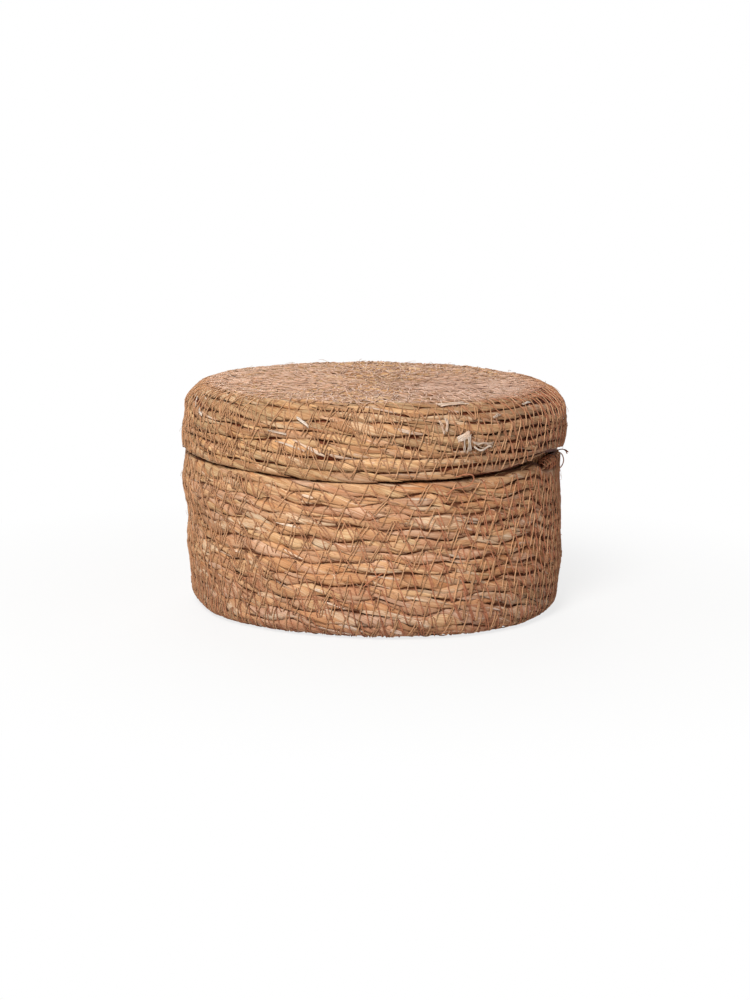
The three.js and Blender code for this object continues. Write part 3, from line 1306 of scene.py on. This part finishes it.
def leaf_finish(name, shade):
    """Dried leaf: own tint, lengthwise veins, blotches, pale dry streaks, painted shade on tucked edges."""
    material = bpy.data.materials.new(name)
    finish = Finish(material)
    tint, grain, depth = finish.readings()
    veins = finish.noise(grain, *VEINS)
    blotch = finish.noise(grain, *BLOTCHES)
    streak = finish.noise(grain, *STREAKS)
    colour = finish.shaded(tint, veins, VEIN_MASK, VEIN_SHADE)
    colour = finish.shaded(colour, blotch, BLOTCH_MASK, BLOTCH_SHADE)
    colour = finish.mixed("MIX", finish.spread(streak, *STREAK_MASK), colour, opaque(DRY_LEAF))
    # Painted shade in the joints, as far as the depth reading says
    colour = finish.shaded(colour, depth, CREVICE_PAINTED_SHADE_MASK, CREVICE_PAINTED_SHADE)
    colour = finish.mixed("MULTIPLY", 1.0, colour, opaque(shade))
    rough = LEAF_ROUGHNESS + BLOTCH_ROUGHER * blotch
    finish.show(finish.surface(colour, rough, LEAF_SHINE, veins, *LEAF_BUMP))
    return material


def thread_finish(name):
    """Twisted sewing thread: two plies that show as slanting bands, and painted shade where it dips in."""
    material = bpy.data.materials.new(name)
    finish = Finish(material)
    tint, grain, depth = finish.readings()
    along = finish.node("ShaderNodeSeparateXYZ", None, {0: grain})
    turn = along * THREAD_TWIST + finish.beside(along, 1)
    ply = finish.node("ShaderNodeMath", {"operation": "SINE"}, {0: turn * (TAU * THREAD_PLIES)})
    wear = finish.noise(grain, *WEAR)
    colour = finish.shaded(tint, ply, PLY_MASK, PLY_SHADE)
    colour = finish.shaded(colour, wear, WEAR_MASK, WORN_SHADE)
    # Painted shade at the ends of each leg, where it dips into the weave
    colour = finish.shaded(colour, depth, DIP_PAINTED_SHADE_MASK, DIP_PAINTED_SHADE)
    finish.show(finish.surface(colour, THREAD_ROUGHNESS, THREAD_SHINE, ply, *THREAD_BUMP))
    return material


box_surface = Vessel(BOX_RADIUS, BOX_CORNER, BOX_THICKNESS, settle_box)
lid_surface = Vessel(LID_RADIUS, LID_CORNER, LID_THICKNESS, settle_lid)
collar_surface = Sleeve(COLLAR_RADIUS, COLLAR_THICKNESS, settle_box)

box_leaf = leaf_finish("box_leaf", BOX_SHADE)
lid_leaf = leaf_finish("lid_leaf", LID_SHADE)
collar_leaf = leaf_finish("collar_leaf", COLLAR_PAINTED_SHADE)
thread = thread_finish("sewing_thread")

box_winding = Winding(box_surface, BOX_HEIGHT, BOX_STRAND, box_leaf)
lid_winding = Winding(lid_surface, LID_HEIGHT, LID_STRAND, lid_leaf)
collar_winding = Winding(collar_surface, collar_high[2], COLLAR_STRAND, collar_leaf)

# A coil starts this share of a course from its centre, and is parted a course inside its floor's edge
CENTRE_SHARE = 0.1
box_centre = box_winding.back_at(box_winding.course * CENTRE_SHARE)
box_parting = box_winding.back_at(box_surface.floor - box_winding.course)
lid_centre = lid_winding.back_at(lid_winding.course * CENTRE_SHARE)
lid_parting = lid_winding.back_at(lid_surface.floor - lid_winding.course)

# Turns from the parting of the lid out to where the stitching of its top begins, and in to where leaves end
TOP_STITCH_TURNS = 1.5
TOP_LEAF_TURNS = 3
lid_edge = lid_parting - TOP_STITCH_TURNS

# The collar's strand ends at its lower edge and is sewn up to where it starts to taper
collar_foot = collar_winding.back_at(collar_low[2] + collar_winding.course / 2)
collar_sewn = collar_foot - COLLAR_STRAND.foot / (TAU * COLLAR_RADIUS)


def add_piece(name, bundle, finish, body, node=None):
    piece = bpy.data.objects.new(name, bundle.mesh(name))
    bpy.context.scene.collection.objects.link(piece)
    piece.data.materials.append(finish)
    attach(piece, body)
    if node:
        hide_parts(node)


def strand_piece(name, node, winding, first, last, seed):
    """A strand and its core, which stand for a coil of the frame."""
    bundle = Bundle()
    add_core(bundle, winding, first, last)
    add_strand(bundle, winding, first, last, seed)
    add_piece(name, bundle, winding.leaf, winding.strand.body, node)


def leaf_piece(name, winding, scatter, *reach, seed):
    """Leaves or fibres that one of the functions above scatters over the outside of a strand."""
    bundle = Bundle()
    scatter(bundle, winding, *reach, seed)
    add_piece(name, bundle, winding.leaf, winding.strand.body)


def stitch_piece(name, winding, first, last, seed, side=OUTSIDE):
    bundle = Bundle()
    add_stitches(bundle, winding, first, last, seed, side)
    add_piece(name, bundle, thread, winding.strand.body)


strand_piece("base_strand", "base_coil", box_winding, box_parting, box_centre, seed=21)
strand_piece("wall_strand", "wall_coil", box_winding, 0.0, box_parting, seed=22)
strand_piece("collar_strand", "collar_coil", collar_winding, 0.0, collar_foot, seed=23)
strand_piece("lid_top_strand", "lid_top_coil", lid_winding, lid_parting, lid_centre, seed=24)
strand_piece("lid_rim_strand", "lid_rim_coil", lid_winding, 0.0, lid_parting, seed=25)

leaf_piece("wall_leaves", box_winding, add_wraps, 0.0, box_parting, seed=1000)
leaf_piece("lid_leaves", lid_winding, add_wraps, 0.0, lid_parting + TOP_LEAF_TURNS, seed=3000)

stitch_piece("base_stitching", box_winding, box_parting, box_centre, seed=31)
stitch_piece("wall_stitching", box_winding, 1.0, box_parting, seed=32)
stitch_piece("lid_top_stitching", lid_winding, lid_edge, lid_centre, seed=33)
stitch_piece("lid_rim_stitching", lid_winding, 1.0, lid_edge, seed=34)

# Inside of the box and lid, where the same rows of stitching show, and both sides of the collar
stitch_piece("wall_stitching_inside", box_winding, 1.0, box_parting, seed=35, side=INSIDE)
stitch_piece("base_stitching_inside", box_winding, box_parting, box_centre, seed=36, side=INSIDE)
stitch_piece("lid_rim_stitching_inside", lid_winding, 1.0, lid_parting, seed=37, side=INSIDE)
stitch_piece("lid_top_stitching_inside", lid_winding, lid_parting, lid_centre, seed=38, side=INSIDE)
stitch_piece("collar_stitching", collar_winding, 1.0, collar_sewn, seed=39)
stitch_piece("collar_stitching_inside", collar_winding, 1.0, collar_sewn, seed=40, side=INSIDE)

# Strips of dry leaf that have frayed loose on the lid: the width of each, and its spots in degrees, distance
# from the rim and out from the face
LID_STRIPS = [
    (1.3, [(-71.4, 25.2, 0.4), (-70.9, 23.0, 0.7), (-70.1, 20.2, 0.5)]),
    (1.3, [(-69.4, 26.2, 0.4), (-69.4, 23.5, 0.9), (-69.9, 20.4, 0.7)]),
    (1.9, [(-70.4, 32.8, 0.2), (-65.5, 33.6, 0.4), (-60.0, 33.8, 0.1)]),
    (2.7, [(-66.5, 17.3, 0.3), (-64.2, 18.9, 0.8), (-62.0, 20.2, 0.4)]),
    (0.8, [(-64.2, 18.6, 0.8), (-64.4, 15.0, 1.3), (-64.3, 11.4, 1.0)]),
    (0.6, [(-63.2, 19.0, 0.8), (-63.0, 15.5, 1.4), (-63.3, 11.2, 1.2)]),
    (0.6, [(-62.4, 19.2, 0.7), (-62.6, 15.5, 1.2), (-62.2, 11.6, 0.9)]),
    (
        0.6,
        [(-62.0, 16.6, 0.4), (-60.0, 15.2, 0.9), (-58.4, 15.4, 0.8), (-56.6, 14.8, 0.6), (-54.0, 15.2, 0.3)],
    ),
    (
        0.6,
        [(-61.3, 14.2, 0.4), (-59.8, 12.4, 0.9), (-58.0, 12.4, 0.9), (-56.0, 13.6, 0.6), (-53.8, 11.6, 0.3)],
    ),
    (
        0.5,
        [(-60.8, 15.8, 0.6), (-59.2, 13.6, 1.0), (-57.2, 13.2, 0.8), (-55.6, 14.6, 0.5), (-54.2, 13.8, 0.3)],
    ),
    (0.8, [(-54.0, 25.2, 0.3), (-52.4, 25.9, 0.6), (-50.8, 26.2, 0.3)]),
    (0.9, [(-39.8, 29.3, 0.2), (-37.0, 29.8, 0.4), (-34.3, 30.2, 0.1)]),
    (1.3, [(-112.4, 25.4, 0.2), (-110.4, 24.0, 0.5), (-108.2, 22.4, 0.2)]),
    (0.9, [(-121.0, 19.6, 0.2), (-117.5, 19.2, 0.4), (-114.5, 18.6, 0.2)]),
    (1.3, [(-159.5, 27.5, 0.2), (-158.0, 25.5, 0.5), (-156.5, 23.5, 0.2)]),
    (1.0, [(-153.5, 23.5, 0.2), (-152.0, 22.0, 0.5), (-150.0, 21.2, 0.2)]),
]

# Loose ends of sewing thread on the box, placed in the same way
BOX_TAILS = [
    [(-2.0, 1.0, -0.5), (-3.0, 0.3, 1.4), (-4.0, 0.4, 3.4), (-5.0, 1.1, 4.7)],
    [(-3.6, 0.3, 2.6), (-4.3, 0.9, 3.6), (-4.9, 2.0, 4.2)],
    [(-4.0, 1.4, -0.5), (-4.5, 2.4, 1.5), (-5.0, 5.4, 2.6), (-5.0, 8.5, 1.5), (-4.5, 10.0, -0.6)],
    [
        (-66.2, -1.8, 2.2),
        (-63.5, -2.9, 3.4),
        (-61.4, -2.0, 3.6),
        (-60.8, 0.4, 3.0),
        (-61.8, 3.2, 2.0),
        (-63.9, 3.9, 1.4),
        (-66.4, 4.4, 1.0),
        (-68.6, 7.5, 0.2),
    ],
    [(-92.6, 53.0, -0.3), (-91.6, 51.0, 0.7), (-89.6, 48.2, 0.9), (-87.2, 46.0, -0.3)],
]

# Seeds of the first strip, tail and loop
STRIP_SEED = 700
TAIL_SEED = 600
BINDING_SEED = 500

# Loops that bind the end of the box's strand: the angle of each and how far it leans, in degrees
BINDING = [(-24.6, 1.4), (-23.2, 1.0), (-21.6, 1.8), (-19.8, 1.1), (-17.6, 1.5), (-15.4, 0.9)]

# Half height and half depth of a full loop, and the shares of them at the strand's tip
BINDING_HEIGHT = 3.3
BINDING_DEPTH = 3.0
BINDING_TIP_HEIGHT = 0.35
BINDING_TIP_DEPTH = 0.4

# How far below the strand's middle a loop lies, over how many degrees loops grow and from how many before
# the strand's end, how much thicker their thread is, and the points of a loop
BINDING_LOWER = 0.3
BINDING_GROWS = 5
BINDING_BEFORE = 1
BINDING_THICKER = 1.15
BINDING_POINTS = 8


def add_binding(bundle, winding):
    """Adds the loops round the last turn of a strand, next to its end."""
    turn = TAU * np.arange(BINDING_POINTS + 1) / BINDING_POINTS
    for number, (degrees, lean) in enumerate(BINDING):
        tip = float(smoothstep((degrees - winding.strand.end + BINDING_BEFORE) / BINDING_GROWS))
        height = at_least(BINDING_TIP_HEIGHT, tip) * BINDING_HEIGHT
        depth = at_least(BINDING_TIP_DEPTH, tip) * BINDING_DEPTH
        across = winding.course / 2 + BINDING_LOWER + height * np.cos(turn)
        out = depth * np.sin(turn) - winding.half
        points = np.stack([degrees + lean * np.cos(turn), across, out], 1)
        radius = THREAD_RADIUS * BINDING_THICKER
        add_loose_thread(bundle, winding, points, radius, PINK_THREAD, BINDING_SEED + number)


def lid_frays():
    bundle = Bundle()
    for number, (width, points) in enumerate(LID_STRIPS):
        add_strip(bundle, lid_winding, points, width, FRAYED_LEAF, STRIP_SEED + number)
    add_piece("lid_frayed_leaf", bundle, lid_winding.leaf, "lid")


def box_tails():
    bundle = Bundle()
    for number, points in enumerate(BOX_TAILS):
        add_loose_thread(bundle, box_winding, points, THREAD_RADIUS, PINK_THREAD, TAIL_SEED + number)
    add_binding(bundle, box_winding)
    add_piece("box_thread_ends", bundle, thread, "box")


lid_frays()
box_tails()

# Stray fibres: how many, and how far from the rim they go
BOX_FIBRES = (420, 66.0)
LID_FIBRES = (520, 118.0)
leaf_piece("box_fibres", box_winding, add_fibres, *BOX_FIBRES, seed=41)
leaf_piece("lid_fibres", lid_winding, add_fibres, *LID_FIBRES, seed=42)

# Stage, in metres: a pale floor that runs back to white, by these shares from the box outwards
FLOOR_HALF = 3.0
FLOOR_CORNERS = [(-1, -1), (1, -1), (1, 1), (-1, 1)]
SHADOW_REACH = (0.12, 0.3)
FLOOR_WASH = (0.78, 1.0)
WHITE = (1, 1, 1, 1)
FILL_STRENGTH = 0.12
SIGHT_RAYS = ("Is Camera Ray", "Is Glossy Ray", "Is Transmission Ray")

# Lamps, in metres: the place, size and power of soft light from the upper left, and of a weaker one behind
LAMP_AIM = Vector((0, 0, 0.05))
LAMPS = [("key", (-0.44, -1.45, 1.37), 0.8, 45.0), ("back", (-0.1, 1.55, 0.5), 1.2, 19.0)]


def seen_straight(finish):
    """1 where the camera sees a surface, also in a reflection or through glass, and 0 for its own light."""
    sight = finish.node("ShaderNodeLightPath")
    rays = [finish.beside(sight, name) for name in SIGHT_RAYS]
    return rays[0] + rays[1] + rays[2]


def add_floor():
    material = bpy.data.materials.new("floor")
    finish = Finish(material)
    place = finish.node("ShaderNodeNewGeometry")
    away = finish.node("ShaderNodeVectorMath", {"operation": "LENGTH"}, {0: place}, output=1)
    washed = finish.spread(away, *SHADOW_REACH, *FLOOR_WASH)
    lit = finish.node("ShaderNodeBsdfDiffuse", None, {"Color": opaque(FLOOR_COLOUR)})
    white = finish.node("ShaderNodeEmission", None, {"Color": WHITE, "Strength": 1.0})
    sockets = {0: seen_straight(finish) * washed, 1: lit, 2: white}
    finish.show(finish.node("ShaderNodeMixShader", None, sockets))
    mesh = bpy.data.meshes.new("floor")
    mesh.from_pydata([(x * FLOOR_HALF, y * FLOOR_HALF, 0) for x, y in FLOOR_CORNERS], [], [(0, 1, 2, 3)])
    mesh.materials.append(material)
    floor = bpy.data.objects.new("floor", mesh)
    bpy.context.scene.collection.objects.link(floor)


def add_sky():
    """White where it is seen, and an even fill for everything that it lights."""
    world = bpy.data.worlds.new("studio")
    finish = Finish(world)
    fill = finish.node("ShaderNodeBackground", None, {"Color": WHITE, "Strength": FILL_STRENGTH})
    white = finish.node("ShaderNodeBackground", None, {"Color": WHITE, "Strength": 1.0})
    sockets = {0: seen_straight(finish), 1: fill, 2: white}
    finish.show(finish.node("ShaderNodeMixShader", None, sockets), "ShaderNodeOutputWorld")
    bpy.context.scene.world = world


def add_lamp(name, place, size, power):
    data = bpy.data.lights.new(name, "AREA")
    data.shape = "DISK"
    data.size = size
    data.energy = power
    lamp = bpy.data.objects.new(name, data)
    bpy.context.scene.collection.objects.link(lamp)
    lamp.location = place
    lamp.rotation_euler = (LAMP_AIM - Vector(place)).to_track_quat("-Z", "Y").to_euler()


add_floor()
add_sky()
for lamp in LAMPS:
    add_lamp(*lamp)

bpy.context.scene.view_settings.view_transform = "Standard"
